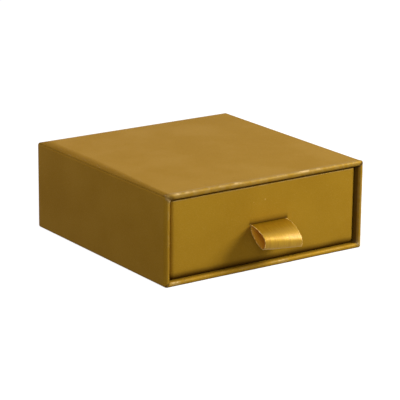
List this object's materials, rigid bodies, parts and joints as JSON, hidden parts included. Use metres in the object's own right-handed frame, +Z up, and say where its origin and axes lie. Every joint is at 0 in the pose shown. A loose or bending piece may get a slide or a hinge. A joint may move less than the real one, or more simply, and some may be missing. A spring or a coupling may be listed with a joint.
{
  "type": "sliding drawer gift box",
  "caption": "Square flat gift box: a paper-wrapped board drawer with a ribbon pull slides out of a paper-wrapped sleeve closed at the back.",
  "frame": {"origin": "centre of the sleeve's underside, on the surface that the box stands on", "axes": "+Z up, -Y out of the drawer's front (the way the drawer slides out), +X to the right seen from the front"},
  "size_m": [0.09, 0.0985, 0.0343],
  "materials": {
    "gold_paper": "pearl gold wrapping paper, fine grain",
    "lining_paper": "plain dark lining paper",
    "greyboard": "raw greyboard",
    "stay_tape": "brown kraft paper tape",
    "gold_satin": "single-face gold satin ribbon"
  },
  "bodies": {
    "sleeve": {"sleeve_wrap": "gold_paper", "sleeve_back_patch": "gold_paper", "sleeve_liner": "lining_paper", "sleeve_back_liner": "lining_paper", "sleeve_top_board": "greyboard", "sleeve_bottom_board": "greyboard", "sleeve_left_board": "greyboard", "sleeve_right_board": "greyboard", "sleeve_back_board": "greyboard"},
    "drawer": {"drawer_wrap": "gold_paper", "drawer_base_liner": "gold_paper", "drawer_base_board": "greyboard", "drawer_front_board": "greyboard", "drawer_back_board": "greyboard", "drawer_left_board": "greyboard", "drawer_right_board": "greyboard", "corner_stay_front_left": "stay_tape", "corner_stay_front_right": "stay_tape", "corner_stay_back_left": "stay_tape", "corner_stay_back_right": "stay_tape", "ribbon_pull": "gold_satin", "ribbon_tape": "stay_tape"}
  },
  "joints": [
    {"name": "drawer_slide", "type": "slide", "parent": "sleeve", "child": "drawer", "axis": [0, -1, 0], "range_m": [0, 0.09]}
  ]
}
